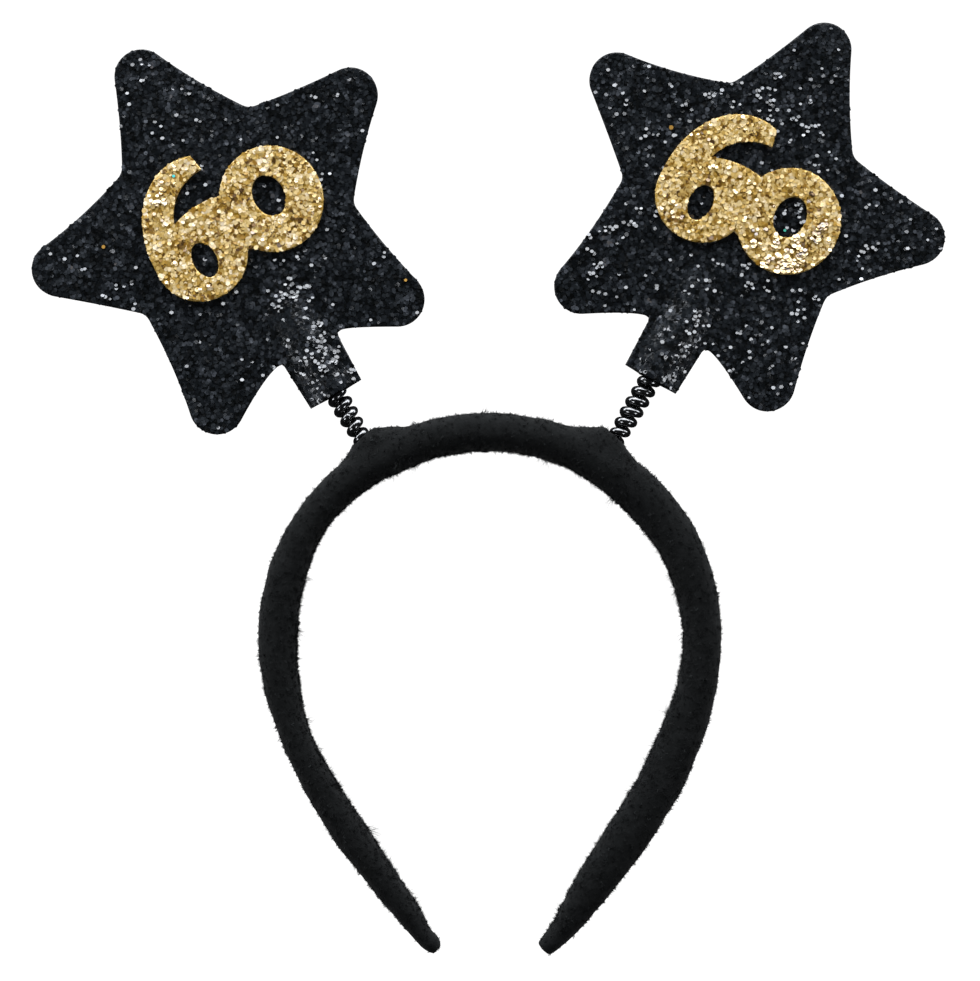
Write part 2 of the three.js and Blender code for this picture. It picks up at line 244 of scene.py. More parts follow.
# Loose tufts, crowded on the inner edge. The fibres of a tuft have these shares of its length, and splay,
# in degrees, and bend.
TUFT_COUNT = 360
TUFT_CROWDING = 3
TUFT_FIBRES = 14
TUFT_ACROSS = 0.7
TUFT_LENGTH = 1.6
TUFT_EVENNESS = 4
TUFT_SHARES = (0.5, 1.1)
TUFT_LONGEST = 4
TUFT_LEAN = 30
TUFT_SPLAY = 18
TUFT_BEND = 0.3
TUFT_RADIUS = 0.07
TUFT_JOINTS = 3
TUFT_SEED = 8

# Flakes: how many are scattered on a face, and how far across they are
BLACK_FLAKES = {"front": 11000, "back": 7000}
BLACK_ACROSS = 1.1
GOLD_FLAKES = 3200
GOLD_ACROSS = 1.15

# A flake's least and greatest size, its thickness, how deep it sinks in the bed and how far it keeps from
# the cut edge are shares of that. It lies this high, leans this much in degrees, and lies by this share
# with the star's plane and not with its ridge.
FLAKE_SIZES = (0.7, 1.1)
FLAKE_THICK = 0.06
FLAKE_SINK = 0.12
FLAKE_MARGIN = 0.3
FLAKE_LIFT = 0.04
FLAKE_LEAN = 7
FLAKE_FLATNESS = 0.8

# Tones of the flakes: clumps of like tone as (size, strength), and the lightest tone of the black
BLACK_CLUMPS = [(5, 0.8), (1.8, 1.6)]
GOLD_CLUMPS = [(5, 0.6), (1.4, 1.1)]
BLACK_SHADES = 0.96

# Flakes that stand up: their tilt towards the top of the picture and their lean about it in degrees, how
# high they may lie on their neighbours, their size as a share of the others', their clumps as
# (size, strength), and the share of them that may stand alone
STANDING_TILT = 29
STANDING_LEAN = 5
STANDING_LIFT = 0.3
STANDING_SIZE = 0.96
STANDING_CLUMP = (2.4, 8)
LONE_SHARE = 0.2

# Added to a seed, so that the clumps of standing flakes and the number have patterns of their own
CLUMP_SEED = 0.5
NUMBER_SEED = 5

# Sizes of the patterns in the materials, and depths of their bumps. The pile of the fleece and the fibres
# of a cut edge are finer in life, and are drawn as coarse as they need to show.
PILE_SIZE = 0.8
PILE_DEPTH = 0.35
PILE_LIE = 2.5
LACQUER_RUNS = 1.4
LACQUER_DEPTH = 0.1
BED_FLAKE = 0.8
BED_DEPTH = 0.25
EDGE_FIBRE = 0.5

# Light, as directions from the object: degrees off the vertical, and anticlockwise from +X. Distances
# and sizes are in metres.
ROOM_STRENGTH = 0.02
ROOM_COLOUR = "#f6f8fa"
LIGHT_COLOUR = "#f5f9ff"
SOFTBOXES = [
    {"name": "strip_top", "off": 58, "turn": 90, "far": 1.2, "wide": 1.5, "high": 0.35, "radiance": 12},
    {"name": "low_right", "off": 79, "turn": 60, "far": 1.5, "wide": 2.6, "high": 0.5, "radiance": 11},
    {"name": "low_left", "off": 79, "turn": 128, "far": 1.5, "wide": 2.6, "high": 0.5, "radiance": 11},
    {"name": "softbox_right", "off": 45, "turn": -35, "far": 1.1, "wide": 0.3, "high": 0.3, "radiance": 14},
    {"name": "softbox_left", "off": 50, "turn": 205, "far": 1.1, "wide": 0.3, "high": 0.3, "radiance": 14},
]

# Lit panel, in metres. It is far enough below the part for a star to nod back above it.
PANEL_DEPTH = 0.3
PANEL_HALF = 8
PANEL_GLOW = 1.1
PANEL_COLOUR = "#ffffff"

# The camera looks straight down, and sees this width at this point.
VIEW_WIDTH = 283.2
VIEW_CENTRE = (0.5, -0.61, 6.4)
CAMERA_LENS = 135


def linear(colour):
    """A hex sRGB colour as linear red, green, blue and alpha."""
    shares = [int(colour[i : i + 2], 16) / 255 for i in (1, 3, 5)]
    return [s / 12.92 if s <= 0.04045 else ((s + 0.055) / 1.055) ** 2.4 for s in shares] + [1.0]


def add(tree, kind, inputs=None, stops=None, **settings):
    """Adds a node with its settings and colour stops, and sets its inputs or links them to sockets."""
    node = tree.nodes.new("ShaderNode" + kind)
    for name, value in settings.items():
        setattr(node, name, value)
    for socket, value in (inputs or {}).items():
        if isinstance(value, bpy.types.NodeSocket):
            tree.links.new(value, node.inputs[socket])
        else:
            node.inputs[socket].default_value = value
    for i, (place, colour) in enumerate(stops or []):
        elements = node.color_ramp.elements
        element = elements[i] if i < len(elements) else elements.new(1.0)
        element.position = place
        element.color = linear(colour)
    return node


def new_material(name):
    """An empty material and its node tree."""
    material = bpy.data.materials.new(name)
    material.use_nodes = True
    material.node_tree.nodes.clear()
    return material, material.node_tree


def pattern_scale(size):
    """A texture's scale, for a pattern that repeats at a size in millimetres."""
    return 1 / (size * MM)


def fleece_material():
    """Polyester fleece, knitted and brushed: a deep matt black, softly mottled where the pile lies
    different ways, with a faint grey bloom where it is seen edge on."""
    material, tree = new_material("brushed_polyester_fleece")
    place = add(tree, "TexCoord").outputs["Object"]
    pile = add(tree, "TexNoise", {
        "Vector": place,
        "Scale": pattern_scale(PILE_SIZE),
        "Detail": 6.0,
        "Roughness": 0.7,
    })
    lie = add(tree, "TexNoise", {"Vector": place, "Scale": pattern_scale(PILE_LIE), "Detail": 2.0})
    mottle = add(tree, "Math", {0: pile.outputs["Fac"], 1: lie.outputs["Fac"]}, operation="MULTIPLY")
    stops = [(0.12, "#050606"), (0.26, "#090a0a"), (0.42, "#0f1010")]
    colour = add(tree, "ValToRGB", {"Fac": mottle.outputs["Value"]}, stops)
    bump = add(tree, "Bump", {
        "Height": pile.outputs["Fac"],
        "Strength": 0.8,
        "Distance": PILE_DEPTH * MM,
    })
    shader = add(tree, "BsdfPrincipled", {
        "Base Color": colour.outputs["Color"],
        "Roughness": 0.95,
        "Specular IOR Level": 0.1,
        "Sheen Weight": 0.025,
        "Sheen Roughness": 0.5,
        "Normal": bump.outputs["Normal"],
    })
    add(tree, "OutputMaterial", {"Surface": shader.outputs["BSDF"]})
    return material


def fibre_material():
    """Ends of polyester fibre: black and thin, and greyer where a tuft was brushed harder. The shade
    attribute picks the tone."""
    material, tree = new_material("polyester_fibre_ends")
    shade = add(tree, "Attribute", attribute_name="shade")
    stops = [(0.0, "#040505"), (0.5, "#0a0b0b"), (0.85, "#131414"), (1.0, "#222424")]
    colour = add(tree, "ValToRGB", {"Fac": shade.outputs["Fac"]}, stops)
    shader = add(tree, "BsdfPrincipled", {
        "Base Color": colour.outputs["Color"],
        "Roughness": 0.8,
        "Specular IOR Level": 0.1,
    })
    add(tree, "OutputMaterial", {"Surface": shader.outputs["BSDF"]})
    return material


def wire_material():
    """Spring steel wire, drawn, coiled and dipped in black lacquer: gloss black with one hard thin
    highlight along each turn, broken a little by runs in the lacquer."""
    material, tree = new_material("black_lacquered_spring_wire")
    place = add(tree, "TexCoord").outputs["Object"]
    runs = add(tree, "TexNoise", {"Vector": place, "Scale": pattern_scale(LACQUER_RUNS), "Detail": 3.0})
    colour = add(tree, "ValToRGB", {"Fac": runs.outputs["Fac"]}, [(0.35, "#040405"), (0.7, "#0b0b0c")])
    rough = add(tree, "MapRange", {"Value": runs.outputs["Fac"], "To Min": 0.14, "To Max": 0.26})
    bump = add(tree, "Bump", {
        "Height": runs.outputs["Fac"],
        "Strength": 0.25,
        "Distance": LACQUER_DEPTH * MM,
    })
    shader = add(tree, "BsdfPrincipled", {
        "Base Color": colour.outputs["Color"],
        "Roughness": rough.outputs["Result"],
        "Specular IOR Level": 0.7,
        "Coat Weight": 1.0,
        "Coat Roughness": 0.12,
        "Normal": bump.outputs["Normal"],
    })
    add(tree, "OutputMaterial", {"Surface": shader.outputs["BSDF"]})
    return material


def glitter_bed_material(name, stops, metallic):
    """Resin bed of a glitter cloth, full of small flakes: dull facets of many tones, so that the ground
    between the large flakes still glints."""
    material, tree = new_material(name)
    place = add(tree, "TexCoord").outputs["Object"]
    cells = add(tree, "TexVoronoi", {"Vector": place, "Scale": pattern_scale(BED_FLAKE)})
    tone = add(tree, "SeparateColor", {"Color": cells.outputs["Color"]})
    colour = add(tree, "ValToRGB", {"Fac": tone.outputs["Red"]}, stops)
    bump = add(tree, "Bump", {
        "Height": cells.outputs["Distance"],
        "Strength": 0.6,
        "Distance": BED_DEPTH * MM,
    })
    rough = add(tree, "MapRange", {"Value": tone.outputs["Green"], "To Min": 0.25, "To Max": 0.45})
    shader = add(tree, "BsdfPrincipled", {
        "Base Color": colour.outputs["Color"],
        "Metallic": metallic,
        "Roughness": rough.outputs["Result"],
        "Specular IOR Level": 0.2,
        "Normal": bump.outputs["Normal"],
    })
    add(tree, "OutputMaterial", {"Surface": shader.outputs["BSDF"]})
    return material


def flake_material(name, stops, metallic, roughness, coat):
    """Flakes of lacquered film, cut to hexagons: each has one tone, and turns bright where it stands
    to the light. The shade attribute picks the tone, and its top the odd colours."""
    material, tree = new_material(name)
    shade = add(tree, "Attribute", attribute_name="shade")
    colour = add(tree, "ValToRGB", {"Fac": shade.outputs["Fac"]}, stops)
    shader = add(tree, "BsdfPrincipled", {
        "Base Color": colour.outputs["Color"],
        "Metallic": metallic,
        "Roughness": roughness,
        "Specular IOR Level": 0.8,
        "Coat Weight": coat,
        "Coat Roughness": 0.15,
    })
    add(tree, "OutputMaterial", {"Surface": shader.outputs["BSDF"]})
    return material


def cut_edge_material(name, stops):
    """Cut edge and back of a glitter sheet: its plain backing, matt and fibrous, in a thin line."""
    material, tree = new_material(name)
    place = add(tree, "TexCoord").outputs["Object"]
    fibre = add(tree, "TexNoise", {"Vector": place, "Scale": pattern_scale(EDGE_FIBRE), "Detail": 4.0})
    colour = add(tree, "ValToRGB", {"Fac": fibre.outputs["Fac"]}, stops)
    shader = add(tree, "BsdfPrincipled", {"Base Color": colour.outputs["Color"], "Roughness": 0.8})
    add(tree, "OutputMaterial", {"Surface": shader.outputs["BSDF"]})
    return material


def new_piece(name, bm, place, *materials):
    """A bmesh in millimetres, set in its place in metres, as an object at the origin."""
    bmesh.ops.transform(bm, matrix=place @ Matrix.Scale(MM, 4), verts=bm.verts[:])
    mesh = bpy.data.meshes.new(name)
    bm.to_mesh(mesh)
    bm.free()
    return linked(name, mesh, *materials)


def linked(name, mesh, *materials):
    """An object in the scene with these materials."""
    piece = bpy.data.objects.new(name, mesh)
    bpy.context.scene.collection.objects.link(piece)
    mesh.materials.clear()
    for material in materials:
        mesh.materials.append(material)
    return piece


def foot_place(side):
    """Where the spring leaves the band, with +Y up the spring and +Z to the front, and the bare
    spring's length in millimetres. Its two joints stand at a quarter and three quarters of it."""
    joints = {joint["name"]: joint for joint in frame["joints"]}
    nod, sway = joints[f"nod_{side}"], joints[f"sway_{side}"]
    low, high = Vector(nod["pos_m"]), Vector(sway["pos_m"])
    across, up = Vector(nod["axis"]).normalized(), (high - low).normalized()
    bare = 2 * (high - low)
    foot = low - bare / 4
    place = Matrix([across, up, across.cross(up)]).transposed().to_4x4()
    place.translation = foot
    return place, bare.length / MM


def curve(start, corner, end):
    """Points from a start towards an end, bent towards a corner. The end itself is left out."""
    steps = max(2, round(abs(end - start) / OUTLINE_STEP))
    share = np.linspace(0, 1, steps, endpoint=False)
    return (1 - share) ** 2 * start + 2 * share * (1 - share) * corner + share**2 * end


def straight(start, end):
    """Points from a start towards an end. The end itself is left out."""
    return curve(start, (start + end) / 2, end)


def ellipse(x, y, wide, high, start, end):
    """Points round an ellipse between two angles in degrees."""
    steps = max(4, round(math.radians(abs(end - start)) * max(wide, high) / OUTLINE_STEP))
    turn = np.radians(np.linspace(start, end, steps, endpoint=abs(end - start) < 360))
    return x + 1j * y + wide * np.cos(turn) + 1j * high * np.sin(turn)


def short_of(corner, towards, distance):
    """The point at a distance from a corner towards another point."""
    return corner + distance * (towards - corner) / abs(towards - corner)


def star_outline(star_turn):
    """The sheet's outline in its plane, anticlockwise from the tab's right-hand end corner."""
    half_round = math.pi / 2 - TIP_HALF_ANGLE
    half_degrees = math.degrees(half_round)
    centre = ARM_REACH - TIP_ROUND
    tip = ellipse(centre, 0, TIP_ROUND, TIP_ROUND, -half_degrees, half_degrees)
    flank_top = centre + TIP_ROUND * cmath.exp(1j * half_round)
    flank_bend = flank_top - FLANK_BEND * cmath.exp(-1j * TIP_HALF_ANGLE)
    first_axis = ARM_SPACING / 2 - math.pi / 2 + math.radians(star_turn)
    notches = []
    for i, row in enumerate(NOTCHES):
        angle = first_axis + (i + 0.5) * ARM_SPACING + math.radians(row["turn"])
        notches.append(row["radius"] * cmath.exp(1j * angle))
    end_right = complex(SLEEVE_X + TAB_END_HALF, TAB_END)
    end_left = complex(SLEEVE_X - TAB_END_HALF, TAB_END)
    top_right = complex(SLEEVE_X + TAB_TOP_HALF, TAB_TOP)
    top_left = complex(SLEEVE_X - TAB_TOP_HALF, TAB_TOP)
    corners = [top_right, *notches, top_left]
    at = short_of(top_right, end_right, TAB_ROUND)
    stretches = [straight(end_right, at)]
    for arm in range(ARMS):
        turn = cmath.exp(1j * (first_axis + arm * ARM_SPACING))
        first, last = arm == 0, arm == ARMS - 1
        before, after = corners[arm], corners[arm + 1]
        bend_in, bend_out = turn * flank_bend.conjugate(), turn * flank_bend
        top_in, top_out = turn * flank_top.conjugate(), turn * flank_top
        leave = short_of(before, bend_in, TAB_ROUND if first else NOTCH_ROUND)
        meet = short_of(after, bend_out, TAB_ROUND if last else NOTCH_ROUND)
        stretches += [curve(at, before, leave), curve(leave, bend_in, top_in), turn * tip[:-1]]
        stretches.append(curve(top_out, bend_out, meet))
        at = meet
    foot = short_of(top_left, end_left, TAB_ROUND)
    stretches += [curve(at, top_left, foot), straight(foot, end_left), straight(end_left, end_right)]
    return np.concatenate(stretches)


def number_outlines(number_turn):
    """The outline of the two joined digits and of their holes, in the star's plane."""
    turn = cmath.exp(1j * math.radians(number_turn))
    edges = [ellipse(**row) for row in NUMBER_EDGES]
    bowl_top = curve(edges[-1][-1], BOWL_TOP, edges[0][0])[1:]
    outline = np.concatenate(edges + [bowl_top])
    return [turn * outline] + [turn * ellipse(**row) for row in NUMBER_HOLES]


def ridge(x, y):
    """Height of the ridge over the spring."""
    across = min(abs(x - SLEEVE_X) / RIDGE_HALF, 1)
    share = min(max((y - RIDGE_FULL_TO) / (RIDGE_ENDS_AT - RIDGE_FULL_TO), 0), 1)
    return RIDGE_HEIGHT * math.cos(across * math.pi / 2) ** 2 * (1 - share * share * (3 - 2 * share))


def wave(x, y, seed):
    """Height of the star's slow waves."""
    fade = min(max((y - TAB_END) / WAVE_FADE, 0), 1)
    return WAVE_HEIGHT * fade * noise.noise((x / WAVE_LENGTH, y / WAVE_LENGTH, seed))


def cut_sheet(outlines, thick, height):
    """A sheet cut to outlines. Its outer face follows a height, and its thickness goes below that.
    The face has the first material, and the rim, the cut edge and the back have the second."""
    bm = bmesh.new()
    for outline in outlines:
        loop = [bm.verts.new((p.real, p.imag, 0)) for p in outline]
        for a, b in zip(loop, loop[1:] + loop[:1]):
            bm.edges.new((a, b))
    bmesh.ops.triangle_fill(bm, edges=bm.edges[:], use_beauty=True, use_dissolve=True)
    bmesh.ops.recalc_face_normals(bm, faces=bm.faces[:])
    if sum(face.normal.z for face in bm.faces) < 0:
        bmesh.ops.reverse_faces(bm, faces=bm.faces[:])
    rim = bmesh.ops.inset_region(
        bm, faces=bm.faces[:], thickness=RIM_WIDTH, use_boundary=True, use_even_offset=True
    )
    for face in rim["faces"]:
        face.material_index = 1
    reach = max(abs(outlines[0]))
    for normal in (Vector((1, 0, 0)), Vector((0, 1, 0))):
        for at in np.arange(-reach, reach, SHEET_GRID):
            whole = bm.verts[:] + bm.edges[:] + bm.faces[:]
            bmesh.ops.bisect_plane(
                bm, geom=whole, dist=CUT_WITHIN, plane_co=normal * at, plane_no=normal
            )
    for vert in bm.verts:
        vert.co.z = height(vert.co.x, vert.co.y) - (RIM_DROP if vert.is_boundary else 0)
    bmesh.ops.solidify(bm, geom=bm.faces[:], thickness=thick)
    for face in bm.faces:
        if face.normal.z < OUTER_FACE:
            face.material_index = 1
        face.smooth = face.material_index == 0
    return bm


def scatter(mesh, count, rng, wanted):
    """Random places on a mesh, by area and by how much each triangle's centre and normal is wanted."""
    mesh.calc_loop_triangles()
    corners = np.array([[mesh.vertices[v].co for v in t.vertices] for t in mesh.loop_triangles])
    cross = np.cross(corners[:, 1] - corners[:, 0], corners[:, 2] - corners[:, 0])
    size = np.linalg.norm(cross, axis=1)
    normals = cross / np.maximum(size, LEAST_SIZE)[:, None]
    weight = size * wanted(corners.mean(axis=1), normals)
    picked = rng.choice(len(size), count, p=weight / weight.sum())
    a, b = np.sqrt(rng.random(count)), rng.random(count)
    shares = np.stack([1 - a, a * (1 - b), a * b], axis=1)
    return np.einsum("ij,ijk->ik", shares, corners[picked]), normals[picked]


def edge_distance(points, outlines):
    """How far points in the star's plane are from the nearest outline."""
    best = np.full(len(points), np.inf)
    for outline in outlines:
        for a, b in zip(outline, np.roll(outline, -1)):
            share = np.clip(((points - a) * np.conj(b - a)).real / abs(b - a) ** 2, 0, 1)
            best = np.minimum(best, abs(points - a - share * (b - a)))
    return best


def inside(points, outlines):
    """Whether points in the star's plane lie inside an outline and outside its holes."""
    odd = np.zeros(len(points), bool)
    for outline in outlines:
        for a, b in zip(outline, np.roll(outline, -1)):
            if a.imag == b.imag:
                continue
            spans = (a.imag > points.imag) != (b.imag > points.imag)
            x = a.real + (points.imag - a.imag) * (b.real - a.real) / (b.imag - a.imag)
            odd ^= spans & (points.real < x)
    return odd


def joined(name, vertices, faces, shades, material):
    """Many small things of one kind as one object: vertices for each thing, the faces of one of
    them, and a shade for each thing."""
    count, each = vertices.shape[:2]
    mesh = bpy.data.meshes.new(name)
    starts = np.arange(count) * each
    every = [[start + v for v in face] for start in starts.tolist() for face in faces]
    mesh.from_pydata(vertices.reshape(-1, 3).tolist(), [], every)
    attribute = mesh.attributes.new("shade", "FLOAT", "FACE")
    attribute.data.foreach_set("value", np.repeat(shades, len(faces)).astype(np.float32))
    return linked(name, mesh, material)


def unit(vectors):
    """Vectors at length 1."""
    return vectors / np.linalg.norm(vectors, axis=1, keepdims=True)


def crosswise(directions):
    """Two unit vectors square to each direction."""
    upright = abs(directions[:, 2:]) >= NEARLY_UPRIGHT
    helper = np.where(upright, [[1.0, 0.0, 0.0]], [[0.0, 0.0, 1.0]])
    first = unit(np.cross(directions, helper))
    return first, np.cross(directions, first)


def leaning(directions, spread, rng):
    """Directions that each lean at random, with the spread in degrees."""
    first, second = crosswise(directions)
    lean = math.tan(math.radians(spread)) * rng.normal(size=(len(directions), 2))
    return unit(directions + lean[:, :1] * first + lean[:, 1:] * second)


def flake_shape():
    """Vertices and faces of one flake: a flat hexagon 1 across, with a shallow point under it."""
    bm = bmesh.new()
    bmesh.ops.create_cone(
        bm, cap_ends=True, segments=6, radius1=1 / math.sqrt(3), radius2=0, depth=FLAKE_THICK
    )
    bmesh.ops.rotate(bm, matrix=Matrix.Rotation(math.pi, 3, "X"), verts=bm.verts[:])
    bmesh.ops.remove_doubles(bm, verts=bm.verts[:], dist=MERGE_WITHIN)
    bm.verts.index_update()
    vertices = np.array([v.co for v in bm.verts])
    faces = [[v.index for v in face.verts] for face in bm.faces]
    bm.free()
    return vertices, faces


def flakes(name, places, normals, ups, across, shades, rng, material):
    """Flakes at places in metres, each facing its own way and lifted so that it clears the surface."""
    first, second = crosswise(ups)
    turn = rng.uniform(0, 2 * math.pi, len(places))[:, None]
    x = np.cos(turn) * first + np.sin(turn) * second
    axes = np.stack([x, np.cross(ups, x), ups], axis=1)
    size = (across * MM * rng.uniform(*FLAKE_SIZES, len(places)))[:, None]
    tilt = np.linalg.norm(np.cross(normals, ups), axis=1)[:, None]
    sink = FLAKE_SINK * rng.random(len(places))[:, None]
    centres = places + normals * ((0.5 - sink) * tilt * size + FLAKE_LIFT * MM)
    vertices, faces = flake_shape()
    turned = np.einsum("va,nac->nvc", vertices, axes) * size[:, :, None]
    placed = centres[:, None] + turned
    placed[:, :, 2] = np.maximum(placed[:, :, 2], 0)
    return joined(name, placed, faces, shades, material)


def stand_up(points, patches, stray, seed, rng):
    """Which flakes stand up, by chance: most in the middle of a patch, and in small clumps."""
    chance = np.full(len(points), stray)
    for patch in patches:
        away = abs(points - complex(patch["x"], patch["y"])) / patch["reach"]
        chance = np.maximum(chance, patch["share"] * np.exp(-(away**2)))
    size, strength = STANDING_CLUMP
    clump = np.array([noise.noise((p.real / size, p.imag / size, seed + CLUMP_SEED)) for p in points])
    return rng.random(len(points)) < chance * np.clip(LONE_SHARE + strength * clump, 0, None)


def clumped(points, clumps, seed, rng):
    """A tone from 0 to 1 for each flake, evenly spread, with like tones in clumps."""
    order = rng.random(len(points))
    for size, strength in clumps:
        order += [strength * noise.noise((p.real / size, p.imag / size, seed)) for p in points]
    return order.argsort().argsort() / len(points)


def glitter_face(name, sheet, place, facing, wanted, glitter, seed):
    """The flakes on one face of a sheet, where they are wanted."""
    rng = np.random.default_rng(seed)
    outwards = facing * np.array(place.col[2][:3])

    def on_face(centres, normals):
        return normals @ outwards > FLAKED_FACE

    places, normals = scatter(sheet.data, glitter["count"], rng, on_face)
    flat = np.array([place.inverted() @ Vector(p) for p in places]) / MM
    points = flat[:, 0] + 1j * flat[:, 1]
    kept = wanted(points)
    places, normals, points = places[kept], normals[kept], points[kept]
    calm = leaning(unit(normals + FLAKE_FLATNESS * outwards), FLAKE_LEAN, rng)
    tilt = math.radians(STANDING_TILT)
    to_light = np.tile([0, math.sin(tilt), facing * math.cos(tilt)], (len(points), 1))
    standing = stand_up(points, glitter["patches"], glitter["stray"], seed, rng)[:, None]
    ups = np.where(standing, leaning(to_light, STANDING_LEAN, rng), calm)
    places += standing * STANDING_LIFT * MM * rng.random((len(points), 1)) * normals
    shades = glitter["shades"] * clumped(points, glitter["clumps"], seed, rng)
    for row in glitter["odd"]:
        nearest = np.argmin(abs(points - complex(row["x"], row["y"])))
        shades[nearest] = ODD_SHADES[row["colour"]]
        places[nearest] += ODD_LIFT * MM * normals[nearest]
    across = glitter["across"] * np.where(standing[:, 0], STANDING_SIZE, 1)
    return flakes(name, places, normals, ups, across, shades, rng, glitter["material"])


def coil(coil_turn, low, high):
    """The wire between two heights above the spring's foot."""
    start = math.radians(coil_turn) + (low + SPRING_IN_BAND) / COIL_PITCH * 2 * math.pi
    angle = (high - low) / COIL_PITCH * 2 * math.pi
    slope = math.atan(COIL_PITCH / (2 * math.pi * COIL_RADIUS))
    steps = round((high - low) / COIL_PITCH * STEPS_PER_TURN)
    bm = bmesh.new()
    section = bmesh.ops.create_circle(bm, segments=WIRE_SIDES, radius=WIRE_RADIUS)["verts"]
    across_wire = Matrix.Rotation(slope, 4, "Z") @ Matrix.Rotation(math.pi / 2, 4, "Y")
    on_coil = Matrix.Rotation(start, 4, "Y") @ Matrix.Translation((0, low, COIL_RADIUS))
    bmesh.ops.transform(bm, matrix=on_coil @ across_wire, verts=section)
    first_ring = section[:]
    made = bmesh.ops.spin(
        bm,
        geom=section + bm.edges[:],
        axis=(0, 1, 0),
        dvec=(0, (high - low) / steps, 0),
        angle=angle,
        steps=steps,
    )
    last_ring = [v for v in made["geom_last"] if isinstance(v, bmesh.types.BMVert)]
    for ring in (first_ring, last_ring):
        bmesh.ops.contextual_create(bm, geom=ring)
    for vert in bm.verts:
        drawn_in = 1 - min(max(vert.co.y / COIL_FULL_AT, 0), 1)
        outwards = Vector((vert.co.x, 0, vert.co.z)).normalized()
        vert.co -= outwards * drawn_in * (COIL_RADIUS - FOOT_COIL_RADIUS)
    bmesh.ops.recalc_face_normals(bm, faces=bm.faces[:])
    for face in bm.faces:
        face.smooth = True
    return bm


def apply_modifiers(piece):
    """The piece's mesh becomes what its modifiers make of it."""
    graph = bpy.context.evaluated_depsgraph_get()
    piece.data = bpy.data.meshes.new_from_object(piece.evaluated_get(graph))
    piece.modifiers.clear()


def fleece_cover(material):
    """The padded band in its cover, from a copy of its solid: an even soft mesh with slow lumps of
    padding under the fabric."""
    bm = bmesh.new()
    bm.from_mesh(frame["nodes"]["headband"].data)
    bmesh.ops.remove_doubles(bm, verts=bm.verts[:], dist=MERGE_WITHIN * MM)
    mesh = bpy.data.meshes.new("fleece_cover")
    bm.to_mesh(mesh)
    bm.free()
    piece = linked("fleece_cover", mesh, material)
    even = piece.modifiers.new("even_mesh", "REMESH")
    even.mode = "VOXEL"
    even.voxel_size = COVER_MESH * MM
    apply_modifiers(piece)
    bm = bmesh.new()
    bm.from_mesh(piece.data)
    soft = [vert for vert in bm.verts if vert.co.y > CUT_ENDS_BELOW * MM]
    for _ in range(COVER_SMOOTHING):
        bmesh.ops.smooth_vert(
            bm, verts=soft, factor=0.5, use_axis_x=True, use_axis_y=True, use_axis_z=True
        )
    bm.normal_update()
    for vert in bm.verts:
        lump = sum(height * noise.noise(vert.co / (size * MM)) for size, height in COVER_LUMPS)
        vert.co += vert.normal * lump * MM
        vert.co.z = max(vert.co.z, 0)
    for face in bm.faces:
        face.smooth = True
    bm.to_mesh(piece.data)
    bm.free()
    finer = piece.modifiers.new("finer", "SUBSURF")
    finer.levels = finer.render_levels = 1
    apply_modifiers(piece)
    return piece


def inner_edge_first(centres, normals):
    """How likely a fibre is at a place on the band: most on its inner edge, few where it rests and at
    its cut ends."""
    facing = (unit(HEAD_CENTRE - centres) * normals).sum(axis=1)
    elsewhere = 1 + INNER_EDGE_MORE * np.clip(facing, 0, 1)
    likely = np.where(normals[:, 2] < UNDERSIDE, UNDERSIDE_NAP, elsewhere)
    return np.where(centres[:, 1] < CUT_ENDS_BELOW * MM, CUT_END_NAP, 1) * likely


def fibres(name, roots, headings, bends, lengths, radius, joints, shades, material):
    """Tapering fibres, each a row of three-sided rings and a tip, bent off its heading."""
    first, second = crosswise(headings)
    rings = []
    for joint in range(joints):
        share = joint / joints
        centre = roots + lengths[:, None] * (share * headings + share**2 * bends)
        for turn in (0, 2 * math.pi / 3, 4 * math.pi / 3):
            outwards = math.cos(turn) * first + math.sin(turn) * second
            rings.append(centre + (1 - share) * radius * MM * outwards)
    tip = roots + lengths[:, None] * (headings + bends)
    vertices = np.stack(rings + [tip], axis=1)
    vertices[:, :, 2] = np.maximum(vertices[:, :, 2], 0)
    faces = [[2, 1, 0]]
    for low in range(0, 3 * (joints - 1), 3):
        faces += [[low + i, low + (i + 1) % 3, low + 3 + (i + 1) % 3, low + 3 + i] for i in range(3)]
    last, end = 3 * (joints - 1), 3 * joints
    faces += [[last + i, last + (i + 1) % 3, end] for i in range(3)]
    return joined(name, vertices, faces, shades, material)


def fleece_nap(cover, material):
    """The short brushed nap all over the fleece, whose fibres meet in small points."""
    rng = np.random.default_rng(NAP_SEED)
    noise.seed_set(NAP_SEED)
    middles, normals = scatter(cover.data, NAP_POINTS, rng, inner_edge_first)
    comb = np.array([noise.noise_vector(Vector(p) / (NAP_COMB_SIZE * MM)) for p in middles])
    leans = leaning(unit(normals + NAP_COMB_STRENGTH * comb), NAP_LEAN, rng)
    heights = rng.gamma(NAP_EVENNESS, NAP_LENGTH * MM / NAP_EVENNESS, NAP_POINTS)
    points = middles + leans * heights[:, None]
    shades = rng.random(NAP_POINTS)
    naps = (middles, normals, points, shades)
    middles, normals, points, shades = (np.repeat(v, NAP_FIBRES, axis=0) for v in naps)
    first, second = crosswise(normals)
    spread = NAP_ACROSS * MM * rng.normal(size=(len(middles), 2))
    roots = middles + spread[:, :1] * first + spread[:, 1:] * second - FIBRE_ROOT * MM * normals
    ends = points + NAP_SPLIT * MM * rng.normal(size=points.shape) - roots
    lengths = np.linalg.norm(ends, axis=1)
    still = np.zeros_like(ends)
    size = (lengths, NAP_RADIUS, NAP_JOINTS)
    return fibres("fleece_nap", roots, unit(ends), still, *size, shades, material)


